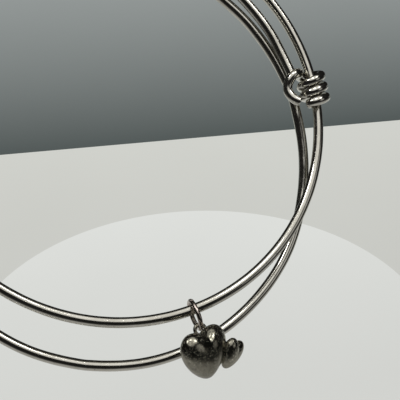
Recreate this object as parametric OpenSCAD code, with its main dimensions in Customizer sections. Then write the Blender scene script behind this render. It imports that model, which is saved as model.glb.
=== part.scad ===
// Expandable wire bangle with a jump ring and a two-heart charm.
// Frame: the bangle stands upright in the XZ plane, its axis is Y,
// -Y is the front, +Z is up and the charm hangs towards -Z.

/* [Wire] */
// Diameter of the round wire
wire_d = 1.6; // [1.4:0.05:1.65]
// Radius of the front turn, to the middle of the wire
loop_r = 32.2; // [31.8:0.1:32.6]
// How far the rear turn lies behind the front turn at the bottom
rear_y = 3.0; // [2.6:0.1:4]

/* [Knots] */
// Angle of the right knot, from +X towards +Z
knot_a = 9; // [7:1:11]
// Angle of the bottom middle, half way between the two knots
mid_a = -99; // [-101:1:-97]
// Diameter of the wrapped wire
wrap_d = 1.54; // [1.4:0.02:1.54]
// Rise of the wrap for each turn
wrap_pitch = 1.68; // [1.67:0.01:1.7]

/* [Charm] */
// Angle at which the jump ring hangs
charm_a = -72; // [-76:1:-66]
// Outer diameter of the jump ring
ring_od = 5.0; // [4.9:0.05:5.1]
// Diameter of the jump ring's wire
ring_wire = 0.7; // [0.6:0.05:0.75]
// Width of the large heart
heart_w = 8.2; // [8:0.1:8.4]
// Width of the small heart
small_w = 3.9; // [3.8:0.1:4.1]

/* [Hidden] */
$fn = 48;
knot2_a = 2 * mid_a - knot_a + 360; // angle of the left knot
half = knot_a - mid_a;              // bottom middle to a knot

// ---- small helpers ----
function unit(v) = v / norm(v);
function ss(x) = let (t = min(1, max(0, x))) t * t * (3 - 2 * t);
// place (radius, depth, angle) in the frame
function at(r, y, a) = [r * cos(a), y, r * sin(a)];
// smooth curve through rows [angle, value, value]
function seg(T, a, i = 0) = (i >= len(T) - 2 || a < T[i + 1][0]) ? i : seg(T, a, i + 1);
function slope(T, i, k) = i == 0 ? (T[1][k] - T[0][k]) / (T[1][0] - T[0][0])
    : i == len(T) - 1 ? (T[i][k] - T[i - 1][k]) / (T[i][0] - T[i - 1][0])
    : (T[i + 1][k] - T[i - 1][k]) / (T[i + 1][0] - T[i - 1][0]);
function curve(T, a, k) = let (i = seg(T, a), h = T[i + 1][0] - T[i][0], t = (a - T[i][0]) / h)
    T[i][k] * (2 * t * t * t - 3 * t * t + 1) + slope(T, i, k) * h * (t * t * t - 2 * t * t + t)
    + T[i + 1][k] * (3 * t * t - 2 * t * t * t) + slope(T, i + 1, k) * h * (t * t * t - t * t);

// tube along points, with frames carried from ring to ring
function tangents(P) = [for (i = [0 : len(P) - 1]) unit(P[min(i + 1, len(P) - 1)] - P[max(i - 1, 0)])];
function carry(n, t) = unit(n - t * (n * t));
module tube(P, d, sides = 12) {
    T = tangents(P);
    n0 = carry(abs(T[0][1]) < 0.9 ? [0, 1, 0] : [1, 0, 0], T[0]);
    N = [for (i = 0, n = n0; i < len(P); i = i + 1, n = i < len(P) ? carry(n, T[i]) : n) n];
    r = d / 2 / sqrt(cos(180 / sides)); // ring of the same mean radius
    V = [for (i = [0 : len(P) - 1]) let (b = cross(T[i], N[i]))
            for (k = [0 : sides - 1]) P[i] + r * (N[i] * cos(360 * k / sides) + b * sin(360 * k / sides))];
    m = len(P);
    polyhedron(V, concat(
        [[for (k = [0 : sides - 1]) k]],
        [[for (k = [sides - 1 : -1 : 0]) (m - 1) * sides + k]],
        [for (i = [0 : m - 2]) for (k = [0 : sides - 1]) let (k2 = (k + 1) % sides)
            each [[i * sides + k, (i + 1) * sides + k, (i + 1) * sides + k2],
                  [i * sides + k, (i + 1) * sides + k2, i * sides + k2]]]), convexity = 8);
}

// ---- strands: radius and depth against angle ----

// rear strand, by angle away from the bottom middle
rear_table = [
    [0, 38.4, rear_y], [15, 38.1, rear_y], [30, 37.1, rear_y], [45, 35.7, rear_y], [60, 34.1, rear_y - 0.1],
    [75, 32.1, 2.5], [85, 30.8, 1.9], [95, 29.6, 1.4], [101, 29.0, 1.1], [108, 28.6, 1], [114, 28.1, 1]];
function rear_at(a) = let (u = abs(a - mid_a)) at(curve(rear_table, u, 1) + loop_r - 32.2, curve(rear_table, u, 2), a);

// tail of the left knot, seen as the inner rear strand above the right knot
left_tail_table = [
    [9, 28.6, 1], [15, 28.1, 1], [21, 27.7, 1], [28, 27.3, 1], [36, 27, 1], [46, 26.7, 1], [60, 26.7, 1],
    [75, 26.9, 0.9], [90, 27.4, 0.7], [105, 27.9, 0.4], [120, 28.3, 0], [135, 28.5, -0.6], [142, 28.5, -0.8], [153, 28.7, -0.8]];
// tail of the right knot, seen just in front of it
right_tail_table = [
    [9, 28.9, -0.9], [13, 28.7, -0.9], [17, 28.5, -0.8], [22, 28.4, -0.7], [28, 28.4, -0.7], [40, 28.3, -0.7],
    [55, 28.4, -0.9], [70, 28.8, -1.4], [85, 29.5, -1.9], [100, 30.4, -1.9], [115, 31.3, -1.2], [130, 32, -0.4], [140, 32.2, 0], [153, 32.2, 0]];
// front strand where it crosses to the rear, between the knots
cross_table = [
    [55, 32.2, 0], [70, 32.1, 0.6], [85, 31.6, 1.5], [100, 30.8, 2.3], [115, 29.8, 2.3], [130, 28.9, 1.6], [141, 28.6, 1.1], [153, 28.6, 1]];

function front_at(a) = a < 55 ? at(loop_r, 0, a)
    : at(curve(cross_table, a, 1) + loop_r - 32.2, curve(cross_table, a, 2), a);
function tail_at(T, a) = at(curve(T, a, 1) + loop_r - 32.2, curve(T, a, 2), a);

gap_a = 1.6; // half the hidden gap inside a knot, where two lengths of wire meet
tail_a = 3.6; // a tail runs this far from its own knot's middle
function steps(a, b, n) = [for (i = [0 : n]) a + (b - a) * i / n];
// one full turn: left knot, bottom, right knot, top, left knot again
module front_turn() color("silver")
    tube([for (a = steps(knot2_a - 360 + gap_a, knot2_a - 0.2, 90)) front_at(a)], wire_d, 12);
// the second pass round the bottom, behind the first
module rear_turn() color("silver")
    tube([for (a = steps(mid_a + half - gap_a, mid_a - half, 60)) rear_at(a)], wire_d, 12);
module right_tail() color("silver")
    tube([for (a = steps(knot_a + tail_a, knot2_a - gap_a, 56)) tail_at(right_tail_table, a)], wire_d, 12);
module left_tail() color("silver")
    tube([for (a = steps(knot_a + gap_a, knot2_a - tail_a, 56)) tail_at(left_tail_table, a)], wire_d, 12);

// ---- wrapped knots ----
// the wrap is drawn in [out, back, along] about the knot's middle
kr = loop_r - 1.8; // radius of the knot's middle
wr = 0.8 + wrap_d / 2 + 0.12;
// the turns go round the outer strand, a little stretched inwards
inner_c = [1.4, -0.4];
outer_c = [1.8, 0];
function race(u, s) = let (
    c1 = inner_c, c2 = outer_c, R1 = wr, R2 = wr,
    L = norm(c2 - c1), dd = atan2(c2[1] - c1[1], c2[0] - c1[0]),
    a1 = 180 * R1 * PI / 180, a2 = 180 * R2 * PI / 180, tot = 2 * L + a1 + a2, x = (u - floor(u)) * tot)
    x < L ? let (t = x / L, n = [sin(dd), -cos(dd)]) (c1 + R1 * n) * (1 - t) + (c2 + R2 * n) * t
    : x < L + a2 ? let (g = -90 + dd + 180 * (x - L) / a2) c2 + R2 * [cos(g), sin(g)]
    : x < 2 * L + a2 ? let (t = (x - L - a2) / L, n = [-sin(dd), cos(dd)]) (c2 + R2 * n) * (1 - t) + (c1 + R1 * n) * t
    : let (g = 90 + dd + 180 * (x - 2 * L - a2) / a1) c1 + R1 * [cos(g), sin(g)];
// smooth curve through points, c is the list and x counts points
function along(c, x) = let (i = min(floor(x), len(c) - 2), t = x - i,
    p0 = c[max(i - 1, 0)], p1 = c[i], p2 = c[i + 1], p3 = c[min(i + 2, len(c) - 1)])
    0.5 * (2 * p1 + (p2 - p0) * t + (2 * p0 - 5 * p1 + 4 * p2 - p3) * t * t + (3 * p1 - p0 - 3 * p2 + p3) * t * t * t);
turn_0 = -0.27;
turn_1 = 2.44;
// the turns lean: higher outside and behind than inside and in front
function turn_s(u) = wrap_pitch * (u - 0.15) - 2.6;
turns = [for (u = steps(turn_0, turn_1, 92)) let (q = race(u, turn_s(u))) [q[0], q[1], turn_s(u) + 0.15 * q[0] + 0.2 * (q[1] + 1.7)]];
// the last length of the wrap: over the tail, then down in front of the inner strands
band_rows = [[0.6, 1.1, 2.1], [0.2, 0.5, 2.2], [-0.2, -0.5, 2.3], [-0.8, -1.4, 2.2], [-1.8, -1.9, 1.9], [-2.6, -1.7, 1.2],
             [-3.1, -1.4, 0.3], [-3.2, -1.3, -0.7], [-2.9, -1.4, -1.7], [-2.3, -1.6, -2.5], [-1.6, -1.7, -3]];
band_pts = concat([turns[90], turns[92]], band_rows);
band = [for (x = steps(1, len(band_pts) - 1, 56)) along(band_pts, x)];
wrap_pts = concat(turns, [for (i = [1 : 56]) band[i]]);
function wrapped(q, side) = side > 0
    ? at(kr + q[0], q[1], knot_a + q[2] / kr * 180 / PI)
    : at(kr + q[0], q[1], knot2_a - q[2] / kr * 180 / PI);
module wrap(side) tube([for (q = wrap_pts) wrapped(q, side)], wrap_d, 10);
module right_wrap() color("gainsboro") wrap(1);
module left_wrap() color("gainsboro") wrap(-1);

// ---- jump ring and charm ----
ring_c = loop_r - wire_d / 2 - 0.15 + ring_od / 2 - ring_wire; // ring's middle, as a radius
ring_m = (ring_od - ring_wire) / 2;                            // ring's mean radius
pivot_r = ring_c + ring_m;                                     // where the charm hangs
module jump_ring() color("rosybrown") rotate([0, -charm_a, 0]) translate([ring_c, 0, 0])
    rotate_extrude() translate([ring_m, 0]) circle(d = ring_wire);

eye_wire = 0.55;
eye_m = 0.8; // mean radius of the charm's eyelet
pivot = at(pivot_r, 0, charm_a);
module charm_eyelet() color("dimgray") translate([pivot[0], 0, pivot[2] - 0.15]) rotate([90, 0, 0])
    rotate_extrude() translate([eye_m, 0]) circle(d = eye_wire);

// puffed heart: the distance from its middle is solved for every direction
function cbrt(x) = sign(x) * pow(abs(x), 1 / 3);
function solve(A, B, lo = 0.2, hi = 2.2, n = 22) = n == 0 ? (lo + hi) / 2
    : let (m = (lo + hi) / 2) (A * m * m - 1 - cbrt(B) * pow(m, 5 / 3) > 0) ? solve(A, B, lo, m, n - 1) : solve(A, B, m, hi, n - 1);
// the last term rounds the tip
function heart_r(x, y, z) = solve(x * x + 2.25 * y * y + z * z, (1.5 * x * x + 0.1 * y * y + (z < 0 ? 0.1 : 0)) * z * z * z);
lon = 36;
lat = 24;
heart_dir = [for (j = [1 : lat - 1]) for (i = [0 : lon - 1])
    let (t = 180 * j / lat, p = 360 * i / lon) [sin(t) * cos(p), sin(t) * sin(p), cos(t)]];
heart_pts = concat([[0, 0, heart_r(0, 0, 1)]], [for (v = heart_dir) v * heart_r(v[0], v[1], v[2])], [[0, 0, -heart_r(0, 0, -1)]]);
heart_top = max([for (p = heart_pts) p[2]]);
heart_low = min([for (p = heart_pts) p[2]]);
heart_x = max([for (p = heart_pts) p[0]]);
heart_y = max([for (p = heart_pts) p[1]]);
module heart(w, h, t) {
    last = len(heart_pts) - 1;
    polyhedron([for (p = heart_pts) [p[0] * w / 2 / heart_x, p[1] * t / 2 / heart_y, (p[2] - (heart_top + heart_low) / 2) * h / (heart_top - heart_low)]],
        concat([for (i = [0 : lon - 1]) [0, 1 + (i + 1) % lon, 1 + i]],
            [for (j = [0 : lat - 3]) for (i = [0 : lon - 1]) let (a = 1 + j * lon + i, b = 1 + j * lon + (i + 1) % lon)
                each [[a, b, b + lon], [a, b + lon, a + lon]]],
            [for (i = [0 : lon - 1]) [last, last - lon + i, last - lon + (i + 1) % lon]]), convexity = 4);
}
// large heart: tip swung back, left lobe forward
large_at = [pivot[0] + 0.1, -1.5, pivot[2] - 3.7];
module large_heart() color("dimgray") translate(large_at) rotate([23, -8, 0]) rotate([0, 0, 29]) heart(heart_w, heart_w * 0.92, heart_w * 0.55);
// small heart: leans out from the large heart's right side
small_at = [pivot[0] + 4.35, -0.6, pivot[2] - 3.85];
module small_heart() color("gray") translate(small_at) rotate([14, 28, 0]) rotate([0, 0, 45]) heart(small_w, small_w * 1.2, small_w * 0.63);

front_turn();
rear_turn();
right_tail();
right_wrap();
left_tail();
left_wrap();
jump_ring();
charm_eyelet();
large_heart();
small_heart();
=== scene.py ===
import bpy, bmesh, math
import numpy as np
from mathutils import Vector, Matrix


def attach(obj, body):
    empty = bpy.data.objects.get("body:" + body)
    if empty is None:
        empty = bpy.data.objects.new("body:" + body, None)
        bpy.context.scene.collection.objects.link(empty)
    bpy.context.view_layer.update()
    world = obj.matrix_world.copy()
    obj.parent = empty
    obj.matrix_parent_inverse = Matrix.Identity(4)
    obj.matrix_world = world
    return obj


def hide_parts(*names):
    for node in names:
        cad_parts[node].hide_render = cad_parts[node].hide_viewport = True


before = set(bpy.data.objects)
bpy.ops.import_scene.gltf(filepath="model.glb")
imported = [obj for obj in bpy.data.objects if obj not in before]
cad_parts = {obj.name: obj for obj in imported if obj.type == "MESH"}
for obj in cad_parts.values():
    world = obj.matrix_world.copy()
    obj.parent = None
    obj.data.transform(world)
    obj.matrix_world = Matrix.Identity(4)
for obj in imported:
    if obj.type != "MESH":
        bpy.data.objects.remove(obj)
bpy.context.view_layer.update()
MM = 0.001
rad, deg = math.radians, math.degrees

# ------------------------------------------------------------------ geometry of the wire, as in the CAD model (mm, degrees)
LOOP_R, WIRE_D, WRAP_D, REAR_Y = 32.2, 1.6, 1.54, 3.0
KNOT_A, MID_A = 9.0, -99.0
KNOT2_A = 2 * MID_A - KNOT_A + 360
HALF = KNOT_A - MID_A
GAP_A, TAIL_A, PITCH = 1.6, 3.6, 1.68
CHARM_A = -72.0
RING_OD, RING_WIRE = 5.0, 0.7


def at(r, y, a):
    return np.array([r * math.cos(rad(a)), y, r * math.sin(rad(a))])


def slope(T, i, k):
    n = len(T)
    if i == 0:
        return (T[1][k] - T[0][k]) / (T[1][0] - T[0][0])
    if i == n - 1:
        return (T[i][k] - T[i - 1][k]) / (T[i][0] - T[i - 1][0])
    return (T[i + 1][k] - T[i - 1][k]) / (T[i + 1][0] - T[i - 1][0])


def curve(T, a, k):
    i = 0
    while i < len(T) - 2 and a >= T[i + 1][0]:
        i += 1
    h = T[i + 1][0] - T[i][0]
    t = (a - T[i][0]) / h
    return (T[i][k] * (2 * t**3 - 3 * t * t + 1) + slope(T, i, k) * h * (t**3 - 2 * t * t + t)
            + T[i + 1][k] * (3 * t * t - 2 * t**3) + slope(T, i + 1, k) * h * (t**3 - t * t))


REAR = [[0, 38.4, REAR_Y], [15, 38.1, REAR_Y], [30, 37.1, REAR_Y], [45, 35.7, REAR_Y], [60, 34.1, REAR_Y - 0.1],
        [75, 32.1, 2.5], [85, 30.8, 1.9], [95, 29.6, 1.4], [101, 29.0, 1.1], [108, 28.6, 1], [114, 28.1, 1]]
LTAIL = [[9, 28.6, 1], [15, 28.1, 1], [21, 27.7, 1], [28, 27.3, 1], [36, 27, 1], [46, 26.7, 1], [60, 26.7, 1],
         [75, 26.9, 0.9], [90, 27.4, 0.7], [105, 27.9, 0.4], [120, 28.3, 0], [135, 28.5, -0.6], [142, 28.5, -0.8], [153, 28.7, -0.8]]
RTAIL = [[9, 28.9, -0.9], [13, 28.7, -0.9], [17, 28.5, -0.8], [22, 28.4, -0.7], [28, 28.4, -0.7], [40, 28.3, -0.7],
         [55, 28.4, -0.9], [70, 28.8, -1.4], [85, 29.5, -1.9], [100, 30.4, -1.9], [115, 31.3, -1.2], [130, 32, -0.4], [140, 32.2, 0], [153, 32.2, 0]]
CROSS = [[55, 32.2, 0], [70, 32.1, 0.6], [85, 31.6, 1.5], [100, 30.8, 2.3], [115, 29.8, 2.3], [130, 28.9, 1.6], [141, 28.6, 1.1], [153, 28.6, 1]]
BAND = [[0.6, 1.1, 2.1], [0.2, 0.5, 2.2], [-0.2, -0.5, 2.3], [-0.8, -1.4, 2.2], [-1.8, -1.9, 1.9], [-2.6, -1.7, 1.2],
        [-3.1, -1.4, 0.3], [-3.2, -1.3, -0.7], [-2.9, -1.4, -1.7], [-2.3, -1.6, -2.5], [-1.6, -1.7, -3]]


def rear_at(a):
    u = abs(a - MID_A)
    return at(curve(REAR, u, 1), curve(REAR, u, 2), a)


def front_at(a):
    return at(LOOP_R, 0, a) if a < 55 else at(curve(CROSS, a, 1), curve(CROSS, a, 2), a)


def tail_at(T, a):
    return at(curve(T, a, 1), curve(T, a, 2), a)


KR = LOOP_R - 1.8
WR = 0.8 + WRAP_D / 2 + 0.12


def race(u, s):
    c1, c2 = np.array([1.4, -0.4]), np.array([1.8, 0.0])
    R1, R2 = WR, WR
    L = np.linalg.norm(c2 - c1)
    dd = math.atan2(c2[1] - c1[1], c2[0] - c1[0])
    a1, a2 = math.pi * R1, math.pi * R2
    x = (u - math.floor(u)) * (2 * L + a1 + a2)
    if x < L:
        t, n = x / L, np.array([math.sin(dd), -math.cos(dd)])
        return (c1 + R1 * n) * (1 - t) + (c2 + R2 * n) * t
    if x < L + a2:
        g = -math.pi / 2 + dd + math.pi * (x - L) / a2
        return c2 + R2 * np.array([math.cos(g), math.sin(g)])
    if x < 2 * L + a2:
        t, n = (x - L - a2) / L, np.array([-math.sin(dd), math.cos(dd)])
        return (c2 + R2 * n) * (1 - t) + (c1 + R1 * n) * t
    g = math.pi / 2 + dd + math.pi * (x - 2 * L - a2) / a1
    return c1 + R1 * np.array([math.cos(g), math.sin(g)])


def along(c, x):
    i = min(int(math.floor(x)), len(c) - 2)
    t = x - i
    p0, p1, p2, p3 = c[max(i - 1, 0)], c[i], c[i + 1], c[min(i + 2, len(c) - 1)]
    return 0.5 * (2 * p1 + (p2 - p0) * t + (2 * p0 - 5 * p1 + 4 * p2 - p3) * t * t + (3 * p1 - p0 - 3 * p2 + p3) * t**3)


def wrap_path():
    T = []
    for i in range(93):
        u = -0.27 + (2.44 + 0.27) * i / 92
        s = PITCH * (u - 0.15) - 2.6
        q = race(u, s)
        T.append(np.array([q[0], q[1], s + 0.15 * q[0] + 0.2 * (q[1] + 1.7)]))
    bp = [T[90], T[92]] + [np.array(b, float) for b in BAND]
    B = [along(bp, 1 + (len(bp) - 2) * i / 56) for i in range(57)]
    return T + B[1:]


def wrapped(q, side):
    if side > 0:
        return at(KR + q[0], q[1], KNOT_A + deg(q[2] / KR))
    return at(KR + q[0], q[1], KNOT2_A - deg(q[2] / KR))


def resample(P, step):
    """Even spacing along a path, smoothed a little so that no ring shows."""
    P = np.array(P, float)
    d = np.r_[0, np.cumsum(np.linalg.norm(np.diff(P, axis=0), axis=1))]
    n = max(4, int(round(d[-1] / step)))
    s = np.linspace(0, d[-1], n + 1)
    # cubic through the points
    out = np.zeros((n + 1, 3))
    m = np.gradient(P, d, axis=0)
    for j, x in enumerate(s):
        i = min(max(np.searchsorted(d, x, side="right") - 1, 0), len(d) - 2)
        h = d[i + 1] - d[i]
        t = (x - d[i]) / h
        out[j] = (P[i] * (2 * t**3 - 3 * t * t + 1) + m[i] * h * (t**3 - 2 * t * t + t)
                  + P[i + 1] * (3 * t * t - 2 * t**3) + m[i + 1] * h * (t**3 - t * t))
    return out, s


# ------------------------------------------------------------------ mesh makers
def new_mesh(name, V, F, uv=None, smooth=True):
    me = bpy.data.meshes.new(name)
    me.from_pydata([tuple(v) for v in V], [], [tuple(f) for f in F])
    me.validate()
    if uv is not None:
        lay = me.uv_layers.new(name="UVMap")
        for poly, fuv in zip(me.polygons, uv):
            for li, c in zip(poly.loop_indices, fuv):
                lay.data[li].uv = c
    for p in me.polygons:
        p.use_smooth = smooth
    o = bpy.data.objects.new(name, me)
    bpy.context.collection.objects.link(o)
    return o


def wire_mesh(name, P, d, sides=28, step=0.35, seed=0, wobble=0.006, caps=("flat", "flat")):
    """A round wire along a path in mm, with slightly rounded ends, a slight waviness in thickness and UVs in mm along
    and round it.
    """
    P, s = resample(P, step)
    n = len(P)
    T = np.gradient(P, axis=0)
    T /= np.linalg.norm(T, axis=1)[:, None]
    N = np.zeros_like(P)
    ref = np.array([0, 1.0, 0]) if abs(T[0][1]) < 0.9 else np.array([1.0, 0, 0])
    v = ref - T[0] * (ref @ T[0])
    for i in range(n):
        v = v - T[i] * (v @ T[i])
        v /= np.linalg.norm(v)
        N[i] = v
    B = np.cross(T, N)
    rng = np.random.RandomState(seed)
    ph = rng.rand(6) * 6.28
    r0 = d / 2
    edge = 0.12
    rows = []  # (centre, radius, uv along)
    rows.append((P[0], r0 - edge, -0.1))
    rows.append((P[0] + T[0] * edge * 0.3, r0 - edge * 0.3, 0.0))
    for i in range(1, n - 1):
        w = 1 + wobble * (math.sin(s[i] * 0.9 + ph[0]) + 0.6 * math.sin(s[i] * 2.3 + ph[1]))
        rows.append((P[i], r0 * w, s[i]))
    rows.append((P[-1] - T[-1] * edge * 0.3, r0 - edge * 0.3, s[-1]))
    rows.append((P[-1], r0 - edge, s[-1] + 0.1))
    idx = [0, 0] + list(range(1, n - 1)) + [n - 1, n - 1]
    V, F, U = [], [], []
    for (c, r, u), i in zip(rows, idx):
        for k in range(sides):
            a = 2 * math.pi * k / sides
            V.append((c + r * (N[i] * math.cos(a) + B[i] * math.sin(a))) * MM)
    m = len(rows)
    circ = math.pi * d
    for i in range(m - 1):
        for k in range(sides):
            k2 = (k + 1) % sides
            F.append((i * sides + k, i * sides + k2, (i + 1) * sides + k2, (i + 1) * sides + k))
            u0, u1 = rows[i][2], rows[i + 1][2]
            v0, v1 = circ * k / sides, circ * (k + 1) / sides
            U.append([(u0, v0), (u0, v1), (u1, v1), (u1, v0)])
    V.append(P[0] * MM)
    V.append(P[-1] * MM)
    for k in range(sides):
        k2 = (k + 1) % sides
        F.append((m * sides, k2, k))
        U.append([(0, 0), (0.1, 0), (0, 0.1)])
        F.append((m * sides + 1, (m - 1) * sides + k, (m - 1) * sides + k2))
        U.append([(0, 0), (0.1, 0), (0, 0.1)])
    return new_mesh(name, V, F, U)


def steps(a, b, n):
    return [a + (b - a) * i / n for i in range(n + 1)]


# ------------------------------------------------------------------ node helpers
def material(name):
    m = bpy.data.materials.new(name)
    m.use_nodes = True
    nt = m.node_tree
    nt.nodes.clear()
    out = nt.nodes.new("ShaderNodeOutputMaterial")
    b = nt.nodes.new("ShaderNodeBsdfPrincipled")
    nt.links.new(b.outputs[0], out.inputs[0])
    return m, nt, b


def node(nt, kind, **kw):
    n = nt.nodes.new(kind)
    for k, v in kw.items():
        if k in n.inputs.keys():
            n.inputs[k].default_value = v
        else:
            setattr(n, k, v)
    return n


def link(nt, a, b):
    nt.links.new(a, b)


def mapping(nt, src, scale, rot=(0, 0, 0), loc=(0, 0, 0)):
    mp = nt.nodes.new("ShaderNodeMapping")
    mp.inputs["Scale"].default_value = scale
    mp.inputs["Rotation"].default_value = rot
    mp.inputs["Location"].default_value = loc
    link(nt, src, mp.inputs["Vector"])
    return mp.outputs[0]


def noise(nt, vec, scale, detail=3.0, rough=0.5, dist=0.0):
    n = nt.nodes.new("ShaderNodeTexNoise")
    n.inputs["Scale"].default_value = scale
    n.inputs["Detail"].default_value = detail
    n.inputs["Roughness"].default_value = rough
    n.inputs["Distortion"].default_value = dist
    link(nt, vec, n.inputs["Vector"])
    return n.outputs[0]


def ramp(nt, fac, stops):
    r = nt.nodes.new("ShaderNodeValToRGB")
    e = r.color_ramp.elements
    while len(e) < len(stops):
        e.new(0.5)
    for el, (p, c) in zip(e, stops):
        el.position = p
        el.color = (*c, 1) if len(c) == 3 else c
    link(nt, fac, r.inputs[0])
    return r.outputs[0]


def grey(v):
    return (v, v, v)


def mixc(nt, fac, a, b, mode="MIX"):
    m = nt.nodes.new("ShaderNodeMix")
    m.data_type = "RGBA"
    m.blend_type = mode
    for sock, val in ((m.inputs[0], fac), (m.inputs[6], a), (m.inputs[7], b)):
        if isinstance(val, (int, float)):
            sock.default_value = val
        elif isinstance(val, tuple):
            sock.default_value = (*val, 1)
        else:
            link(nt, val, sock)
    return m.outputs[2]


def math_(nt, op, a, b=None, clamp=False):
    m = nt.nodes.new("ShaderNodeMath")
    m.operation = op
    m.use_clamp = clamp
    for sock, val in ((m.inputs[0], a), (m.inputs[1], b)):
        if val is None:
            continue
        if isinstance(val, (int, float)):
            sock.default_value = val
        else:
            link(nt, val, sock)
    return m.outputs[0]


def bump(nt, height, strength, dist, normal=None):
    b = nt.nodes.new("ShaderNodeBump")
    b.inputs["Strength"].default_value = strength
    b.inputs["Distance"].default_value = dist
    link(nt, height, b.inputs["Height"])
    if normal is not None:
        link(nt, normal, b.inputs["Normal"])
    return b.outputs[0]


def metal(name, tones, rough, line_amt, scratch_amt, pit_amt, use_uv, spot=0.35):
    """Worn polished metal: slow tone changes, drawing lines, crossing scratches and pits."""
    m, nt, b = material(name)
    tc = nt.nodes.new("ShaderNodeTexCoord")
    obj = mapping(nt, tc.outputs["Object"], (1000, 1000, 1000))
    uv = tc.outputs["UV"]
    # slow tone changes and small dull patches
    slow = noise(nt, obj, 0.22, 3, 0.55)
    patch = noise(nt, obj, 1.6, 4, 0.6, 0.4)
    tone = ramp(nt, slow, [(0.32, tones[0]), (0.68, tones[1])])
    dull = ramp(nt, patch, [(0.46, grey(0)), (0.72, grey(1))])
    tone = mixc(nt, math_(nt, "MULTIPLY", dull, spot), tone, tones[2])
    base_vec = uv if use_uv else obj
    # fine lines left by drawing the wire
    lines = noise(nt, mapping(nt, base_vec, (0.10, 9.0, 1.0) if use_uv else (1.2, 1.2, 9.0)), 1.0, 5, 0.65)
    # broader lines, a few across the visible width of the wire
    broad = noise(nt, mapping(nt, base_vec, (0.035, 2.7, 1.0) if use_uv else (0.8, 0.8, 1.4)), 1.0, 3, 0.6)
    tone = mixc(nt, ramp(nt, broad, [(0.52, grey(0)), (0.66, grey(0.35 if use_uv else 0.12))]), tone, tones[2])
    # scratches: three families of thin streaks
    sc = None
    for k, (ang, sc_l, sc_w, seed) in enumerate(((0.35, 0.9, 10.0, 3.1), (-0.8, 0.8, 11.0, 7.7), (1.35, 1.0, 12.0, 12.3))):
        v = mapping(nt, base_vec, (1, 1, 1), rot=(0.3 * k, 0.5 * k, ang), loc=(seed, seed * 0.7, seed * 1.3))
        st = noise(nt, mapping(nt, v, (sc_l, sc_w, sc_w * 0.5)), 1.0, 1, 0.4, 0.1)
        line = ramp(nt, st, [(0.66, grey(0)), (0.72, grey(1))])
        sc = line if sc is None else math_(nt, "MAXIMUM", sc, line)
    gate = ramp(nt, noise(nt, obj, 0.9, 2, 0.5), [(0.42, grey(0)), (0.6, grey(1))])
    sc = math_(nt, "MULTIPLY", sc, gate)
    # pits
    vor = nt.nodes.new("ShaderNodeTexVoronoi")
    vor.inputs["Scale"].default_value = 1.3
    link(nt, obj, vor.inputs["Vector"])
    pit = ramp(nt, vor.outputs["Distance"], [(0.05, grey(1)), (0.13, grey(0))])
    pit = math_(nt, "MULTIPLY", pit, ramp(nt, noise(nt, obj, 0.5, 1, 0.5), [(0.5, grey(0)), (0.6, grey(1))]))
    tone = mixc(nt, math_(nt, "MULTIPLY", pit, 0.75), tone, (0.05, 0.045, 0.04))
    tone = mixc(nt, math_(nt, "MULTIPLY", sc, 0.12), tone, (0.75, 0.74, 0.72))
    link(nt, tone, b.inputs["Base Color"])
    b.inputs["Metallic"].default_value = 1.0
    rg = math_(nt, "ADD", rough, math_(nt, "MULTIPLY", dull, 0.06))
    rg = math_(nt, "ADD", rg, math_(nt, "MULTIPLY", lines, 0.05))
    rg = math_(nt, "ADD", rg, math_(nt, "MULTIPLY", sc, 0.14), clamp=True)
    link(nt, rg, b.inputs["Roughness"])
    h = math_(nt, "MULTIPLY", lines, line_amt)
    h = math_(nt, "SUBTRACT", h, math_(nt, "MULTIPLY", sc, scratch_amt))
    h = math_(nt, "SUBTRACT", h, math_(nt, "MULTIPLY", pit, pit_amt))
    h = math_(nt, "ADD", h, math_(nt, "MULTIPLY", noise(nt, obj, 1.1, 2, 0.5), line_amt * 2.2))
    h = math_(nt, "ADD", h, math_(nt, "MULTIPLY", broad, 0.16 if use_uv else 0.5))
    link(nt, bump(nt, h, 1.0, 0.00004), b.inputs["Normal"])
    return m


STEEL = metal("steel_wire", [(0.50, 0.485, 0.43), (0.62, 0.605, 0.55), (0.33, 0.31, 0.265)], 0.085, 0.055, 0.05, 0.4, True)
RINGM = metal("ring_steel", [(0.42, 0.36, 0.325), (0.58, 0.52, 0.475), (0.27, 0.22, 0.19)], 0.12, 0.16, 0.28, 0.6, True)
CHARM = metal("dark_silver", [(0.22, 0.21, 0.168), (0.36, 0.345, 0.285), (0.12, 0.112, 0.088)], 0.065, 0.3, 1.8, 1.4, False, 0.6)


def dress(o, body, node_name, mat):
    o.data.materials.append(mat)
    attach(o, body)
    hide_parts(node_name)
    return o


# ------------------------------------------------------------------ the wire
front = wire_mesh("front_turn_wire", [front_at(a) for a in steps(KNOT2_A - 360 + GAP_A, KNOT2_A - 0.2, 360)], WIRE_D, seed=1)
dress(front, "wire", "front_turn", STEEL)
rear = wire_mesh("rear_turn_wire", [rear_at(a) for a in steps(MID_A + HALF - GAP_A, MID_A - HALF, 216)], WIRE_D, seed=2)
dress(rear, "wire", "rear_turn", STEEL)
rtail = wire_mesh("right_tail_wire", [tail_at(RTAIL, a) for a in steps(KNOT_A + TAIL_A, KNOT2_A - GAP_A, 140)], WIRE_D, seed=3)
dress(rtail, "right_knot", "right_tail", STEEL)
ltail = wire_mesh("left_tail_wire", [tail_at(LTAIL, a) for a in steps(KNOT_A + GAP_A, KNOT2_A - TAIL_A, 140)], WIRE_D, seed=4)
dress(ltail, "left_knot", "left_tail", STEEL)
WP = wrap_path()
rwrap = wire_mesh("right_wrap_wire", [wrapped(q, 1) for q in WP], WRAP_D, step=0.25, seed=5, wobble=0.008)
dress(rwrap, "right_knot", "right_wrap", STEEL)
lwrap = wire_mesh("left_wrap_wire", [wrapped(q, -1) for q in WP], WRAP_D, step=0.25, seed=6, wobble=0.008)
dress(lwrap, "left_knot", "left_wrap", STEEL)

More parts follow.
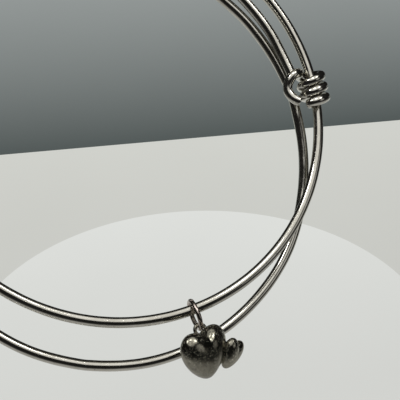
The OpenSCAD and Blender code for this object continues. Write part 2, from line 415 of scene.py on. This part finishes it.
# ------------------------------------------------------------------ jump ring, with its butt joint
RING_C = LOOP_R - WIRE_D / 2 - 0.15 + RING_OD / 2 - RING_WIRE
RING_M = (RING_OD - RING_WIRE) / 2
ux, uz = math.cos(rad(CHARM_A)), math.sin(rad(CHARM_A))
RADIAL, TANG, DEPTH = np.array([ux, 0, uz]), np.array([-uz, 0, ux]), np.array([0, 1.0, 0])
ring_pts = []
for i in range(121):
    a = rad(208) + rad(357.5) * i / 120
    shift = 0.05 * (i / 120 - 0.5)
    ring_pts.append(RING_C * RADIAL + RING_M * (math.cos(a) * RADIAL + math.sin(a) * DEPTH) + TANG * shift)
ring = wire_mesh("jump_ring_wire", ring_pts, RING_WIRE, sides=24, step=0.12, seed=7, wobble=0.01)
dress(ring, "jump_ring", "jump_ring", RINGM)

# ------------------------------------------------------------------ charm
PIV = (RING_C + RING_M) * RADIAL


def cube_sphere(n):
    """Directions over a sphere from a divided cube, as points and quads."""
    pts, quads, seen = [], [], {}
    for ax in range(3):
        for sg in (1, -1):
            for i in range(n):
                for j in range(n):
                    q = []
                    for di, dj in ((0, 0), (1, 0), (1, 1), (0, 1)):
                        a = math.tan((2 * (i + di) / n - 1) * math.pi / 4)
                        c = math.tan((2 * (j + dj) / n - 1) * math.pi / 4)
                        v = [0, 0, 0]
                        v[ax] = sg
                        v[(ax + 1) % 3] = a
                        v[(ax + 2) % 3] = c * sg
                        key = tuple(round(t * 1e6) for t in v)
                        if key not in seen:
                            seen[key] = len(pts)
                            pts.append(np.array(v) / np.linalg.norm(v))
                        q.append(seen[key])
                    quads.append(tuple(q))
    return np.array(pts), quads


def heart_mesh(name, w, h, t, place, pitch, roll, yaw, n=44, seed=0):
    D, F = cube_sphere(n)
    x, y, z = D.T
    A = x * x + 2.25 * y * y + z * z
    Bc = np.cbrt((1.5 * x * x + 0.1 * y * y + np.where(z < 0, 0.1, 0)) * z**3)
    lo, hi = np.full(len(D), 0.2), np.full(len(D), 2.2)
    for _ in range(34):
        m = (lo + hi) / 2
        up = A * m * m - 1 - Bc * m ** (5 / 3) > 0
        hi = np.where(up, m, hi)
        lo = np.where(up, lo, m)
    P = D * m[:, None]
    P[:, 0] *= w / 2 / P[:, 0].max()
    P[:, 1] *= t / 2 / P[:, 1].max()
    top, low = P[:, 2].max(), P[:, 2].min()
    P[:, 2] = (P[:, 2] - (top + low) / 2) * h / (top - low)
    # cast and tumbled by hand, so not quite even
    rng = np.random.RandomState(seed)
    f = rng.rand(4) * 6.28
    P += 0.025 * np.stack([np.sin(P[:, 2] * 1.1 + f[0]), np.sin(P[:, 0] * 0.9 + f[1]), np.sin(P[:, 0] * 1.2 + f[2])], 1)
    M = Matrix.Rotation(rad(roll), 3, "Y") @ Matrix.Rotation(rad(pitch), 3, "X") @ Matrix.Rotation(rad(yaw), 3, "Z")
    V = [(Vector(place) + M @ Vector(p)) * MM for p in P]
    o = new_mesh(name, V, F)
    return o


big = heart_mesh("large_heart_cast", 8.2, 8.2 * 0.92, 8.2 * 0.55, (PIV[0] + 0.1, -1.5, PIV[2] - 3.7), 23, -8, 29, seed=1)
dress(big, "charm", "large_heart", CHARM)
small = heart_mesh("small_heart_cast", 3.9, 3.9 * 1.2, 3.9 * 0.63, (PIV[0] + 4.35, -0.6, PIV[2] - 3.85), 14, 28, 45, n=32, seed=2)
dress(small, "charm", "small_heart", CHARM)
eye_pts = [np.array([PIV[0], 0, PIV[2] - 0.15]) + 0.8 * np.array([math.cos(rad(a)), 0, math.sin(rad(a))]) for a in steps(-90, 268, 90)]
eye = wire_mesh("charm_eyelet_cast", eye_pts, 0.55, sides=20, step=0.08, seed=8, wobble=0.01)
dress(eye, "charm", "charm_eyelet", CHARM)

# ------------------------------------------------------------------ camera
cam_d = bpy.data.cameras.new("camera")
cam = bpy.data.objects.new("camera", cam_d)
bpy.context.collection.objects.link(cam)
cam_d.sensor_width = 36
cam_d.lens = 72
cam_d.clip_start, cam_d.clip_end = 0.01, 20
right = Vector((0.9735, -0.2236, -0.0483))
down = Vector((0.0, 0.2111, -0.9775))
fwd = Vector((0.2288, 0.9515, 0.2055))
R = Matrix((right, -down, -fwd)).transposed()
cam.matrix_world = Matrix.Translation(Vector((-16.24, -116.73, -39.20)) * MM) @ R.to_4x4()
bpy.context.scene.camera = cam

# ------------------------------------------------------------------ stage: pale-looking table and grey-blue wall, both bright by painted light of their own
g_dir = (0.87 * down + 0.49 * fwd + 0.02 * right).normalized()  # where things fall, with the bangle leaning
up = -g_dir


def plane(name, centre, nrm, size, mat, toward=None):
    z = nrm.normalized()
    x = (toward or right).copy()
    x = (x - z * x.dot(z)).normalized()
    y = z.cross(x)
    sx, sy = size
    V = [centre + x * a * sx + y * b * sy for a, b in ((-1, -1), (1, -1), (1, 1), (-1, 1))]
    o = new_mesh(name, V, [(0, 1, 2, 3)], smooth=False)
    o.data.materials.append(mat)
    return o


def plain(name, col, rough=0.6):
    m, nt, b = material(name)
    tc = nt.nodes.new("ShaderNodeTexCoord")
    n = noise(nt, tc.outputs["Object"], 6.0, 3, 0.5)
    c2 = tuple(c * 0.97 for c in col)
    link(nt, ramp(nt, n, [(0.35, c2), (0.65, col)]), b.inputs["Base Color"])
    b.inputs["Roughness"].default_value = rough
    return m


def ray(px, py):
    return (right * ((px - 200) / 800) + down * ((py - 200) / 800) + fwd).normalized()


def glow(name, low, high, vec_dir, zero, span, rough=0.6, tex=6.0):
    """A matt surface whose own faint light changes slowly along one direction."""
    m, nt, b = material(name)
    tc = nt.nodes.new("ShaderNodeTexCoord")
    d = nt.nodes.new("ShaderNodeVectorMath")
    d.operation = "DOT_PRODUCT"
    d.inputs[1].default_value = tuple(vec_dir)
    link(nt, tc.outputs["Object"], d.inputs[0])
    r = nt.nodes.new("ShaderNodeMapRange")
    r.inputs["From Min"].default_value = zero
    r.inputs["From Max"].default_value = zero + span
    link(nt, d.outputs["Value"], r.inputs["Value"])
    c = ramp(nt, r.outputs[0], [(0.0, low), (1.0, high)])
    n = noise(nt, tc.outputs["Object"], tex, 3, 0.5)
    c = mixc(nt, 1.0, c, ramp(nt, n, [(0.3, grey(0.97)), (0.7, grey(1.0))]), "MULTIPLY")
    link(nt, c, b.inputs["Emission Color"])
    b.inputs["Emission Strength"].default_value = 1.0
    b.inputs["Base Color"].default_value = (0.08, 0.08, 0.078, 1)
    b.inputs["Roughness"].default_value = rough
    return m


C = cam.matrix_world.translation
# the table lies 0.24 m below the middle of the bangle and its far edge crosses the view
pl_pt = g_dir * 0.24


def hit(px, py):
    r = ray(px, py)
    return C + r * ((pl_pt - C).dot(g_dir) / r.dot(g_dir))


e0, e1 = hit(0, 155), hit(400, 120)
edge = (e1 - e0).normalized()
back = g_dir.cross(edge).normalized()
if back.dot(fwd) < 0:
    back = -back
mid_e = (e0 + e1) / 2
near = hit(200, 400)
deep = (mid_e - near).dot(back) + 0.10
z0 = near.dot(back)
# painted light: the table top glows with its own light, dimmer near the camera as painted shade and brighter toward the
# far edge
TABLE_PAINTED_LIGHT = glow("table_top_painted_light", (0.50, 0.505, 0.475), (0.62, 0.63, 0.59), back, z0, deep)
table = plane("table", mid_e - back * (deep / 2), up, (0.40, deep / 2), TABLE_PAINTED_LIGHT, toward=edge)
# a round mat, a little paler than the table; its brightness is painted light of its own, rising toward the back
mc = hit(200, 330)
mr_ = (hit(215, 212) - mc).length
mat_v = [mc + up * 0.001 + (edge * math.cos(2 * math.pi * k / 96) + back * math.sin(2 * math.pi * k / 96)) * mr_ for k in range(96)]
mat = new_mesh("mat", mat_v, [tuple(range(96))], smooth=False)
mat.data.materials.append(glow("mat_top_painted_light", (0.60, 0.61, 0.585), (0.78, 0.80, 0.775), back, z0, deep))
wall_c = mid_e + back * 0.5
wt = C + ray(200, -40) * ((wall_c - C).dot(back) / ray(200, -40).dot(back))
wb = C + ray(200, 150) * ((wall_c - C).dot(back) / ray(200, 150).dot(back))
# painted light: the wall glows with its own light, nearly black at the bottom and brighter toward the top
WALL_PAINTED_LIGHT = glow("wall", (0.035, 0.05, 0.049), (0.30, 0.325, 0.32), up, wb.dot(up), (wt - wb).dot(up))
wall_hi, wall_lo = (wt - wall_c).dot(up) + 0.02, (wb - wall_c).dot(up) - 0.30
wall = plane("wall", wall_c + up * (wall_hi + wall_lo) / 2, -back, (1.6, (wall_hi - wall_lo) / 2), WALL_PAINTED_LIGHT, toward=edge)

# ------------------------------------------------------------------ light
world = bpy.data.worlds.new("world")
bpy.context.scene.world = world
world.use_nodes = True
wn = world.node_tree
wn.nodes.clear()
wo = wn.nodes.new("ShaderNodeOutputWorld")
bg = wn.nodes.new("ShaderNodeBackground")
tcw = wn.nodes.new("ShaderNodeTexCoord")


def along_dir(v, stops):
    dn = wn.nodes.new("ShaderNodeVectorMath")
    dn.operation = "DOT_PRODUCT"
    dn.inputs[1].default_value = tuple(v.normalized())
    wn.links.new(tcw.outputs["Generated"], dn.inputs[0])
    m_ = wn.nodes.new("ShaderNodeMapRange")
    m_.inputs["From Min"].default_value = -1
    m_.inputs["From Max"].default_value = 1
    wn.links.new(dn.outputs["Value"], m_.inputs["Value"])
    return ramp(wn, m_.outputs[0], [(p, (c, c * 0.99, c * 0.965)) for p, c in stops])


# dim room, the shaded near part of the table below, a pale ceiling overhead and a window at the right
room = along_dir(up, [(0.0, 0.55), (0.22, 0.45), (0.34, 0.05), (0.5, 0.012), (0.8, 0.02), (1.0, 0.02)])
ceil = along_dir(up - fwd * 0.16 + right * 0.05, [(0.0, 0.0), (0.885, 0.0), (0.915, 0.95), (1.0, 1.15)])
win = along_dir(right * 0.85 - fwd * 0.5 + up * 0.12, [(0.0, 0.0), (0.972, 0.0), (0.988, 0.40), (1.0, 0.55)])
wn.links.new(mixc(wn, 1.0, mixc(wn, 1.0, room, ceil, "ADD"), win, "ADD"), bg.inputs[0])
bg.inputs[1].default_value = 1.0
wn.links.new(bg.outputs[0], wo.inputs[0])


def area(name, direction, dist, size, power, colour=(1, 1, 1)):
    d = bpy.data.lights.new(name, "AREA")
    d.shape = "RECTANGLE"
    d.size, d.size_y = size
    d.energy = power
    d.color = colour
    o = bpy.data.objects.new(name, d)
    bpy.context.collection.objects.link(o)
    p = direction.normalized() * dist
    o.location = p
    o.rotation_mode = "QUATERNION"
    o.rotation_quaternion = (-direction.normalized()).to_track_quat("-Z", "Y")
    return o


# three small ceiling lamps in a row
for i, k in enumerate((-0.62, 0.0, 0.62)):
    area("lamp_%d" % i, up * 1.0 + right * k - fwd * 0.10, 0.9, (0.18, 0.18), 0.85)

scene = bpy.context.scene
scene.view_settings.view_transform = "Standard"
scene.view_settings.look = "None"
